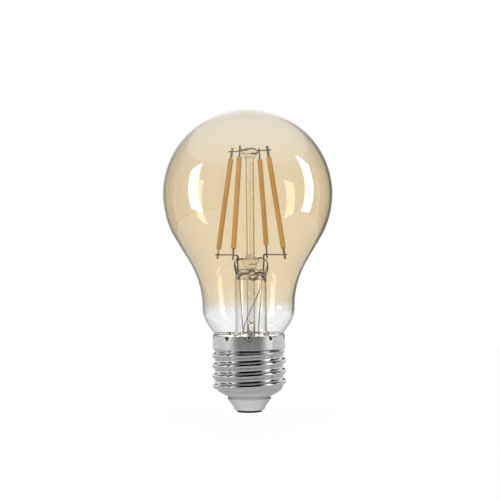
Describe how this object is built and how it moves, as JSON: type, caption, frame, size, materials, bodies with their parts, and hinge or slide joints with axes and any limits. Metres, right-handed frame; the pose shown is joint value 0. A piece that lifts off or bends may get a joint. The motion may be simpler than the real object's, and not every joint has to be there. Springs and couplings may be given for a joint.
{
  "type": "smart light bulb",
  "caption": "Amber glass filament lamp with a pear-shaped envelope, slanting LED filaments on a glass stem and an Edison screw cap that holds its driver and radio.",
  "frame": {"origin": "middle of the lower face of the centre contact, the lamp's lowest point", "axes": "+Z along the lamp's axis, from the cap to the dome; -Y is the front, +X the right side seen from the front"},
  "size_m": [0.06, 0.06, 0.107],
  "materials": {
    "amber_glass": "clear blown glass, amber tint fading to clear at the neck",
    "clear_glass": "clear polished glass",
    "amber_tinted_post": "clear polished glass",
    "support_wire": "dull nickel-plated wire",
    "strip_metal": "satin plated strip",
    "phosphor": "matt translucent silicone loaded with orange phosphor",
    "nickel": "nickel plate, polished thread and satin collar and bowl",
    "light_insulator": "matt moulded",
    "contact_metal": "dark satin",
    "cement": "matt, fine grained",
    "sleeve_film": "matt film",
    "board_green": "solder resist",
    "board_black": "solder resist",
    "tinned_can": "tin plate",
    "link_plastic": "matt moulded",
    "chip_black": "moulded epoxy",
    "capacitor_sleeve": "shrink sleeve",
    "ferrite": "matt sintered",
    "copper": "enamelled copper",
    "resistor_body": "matt lacquer",
    "wire_red": "wire insulation",
    "wire_white": "wire insulation"
  },
  "bodies": {
    "root": {"glass_envelope": "amber_glass", "stem_flare": "clear_glass", "stem_press": "clear_glass", "exhaust_tube": "clear_glass", "stem_post": "amber_tinted_post", "post_button": "amber_tinted_post", "top_bridge_wire": "support_wire", "top_cross_wire": "support_wire", "lead_wire_left": "support_wire", "lead_wire_right": "support_wire", "filament_arm_left": "support_wire", "filament_arm_right": "support_wire", "filament_strip_outer_left": "strip_metal", "filament_strip_outer_right": "strip_metal", "filament_strip_inner_left": "strip_metal", "filament_strip_inner_right": "strip_metal", "filament_coat_outer_left": "phosphor", "filament_coat_outer_right": "phosphor", "filament_coat_inner_left": "phosphor", "filament_coat_inner_right": "phosphor", "screw_shell": "nickel", "insulator": "light_insulator", "center_contact": "contact_metal", "cap_cement": "cement", "insulating_sleeve": "sleeve_film", "driver_board": "board_green", "radio_board": "board_black", "radio_shield": "tinned_can", "board_link": "link_plastic", "bridge_rectifier": "chip_black", "driver_chip": "chip_black", "bulk_capacitor": "capacitor_sleeve", "inductor_core": "ferrite", "inductor_winding": "copper", "fusible_resistor": "resistor_body", "antenna_wire": "copper", "live_wire": "wire_red", "neutral_wire": "wire_white"}
  },
  "joints": []
}
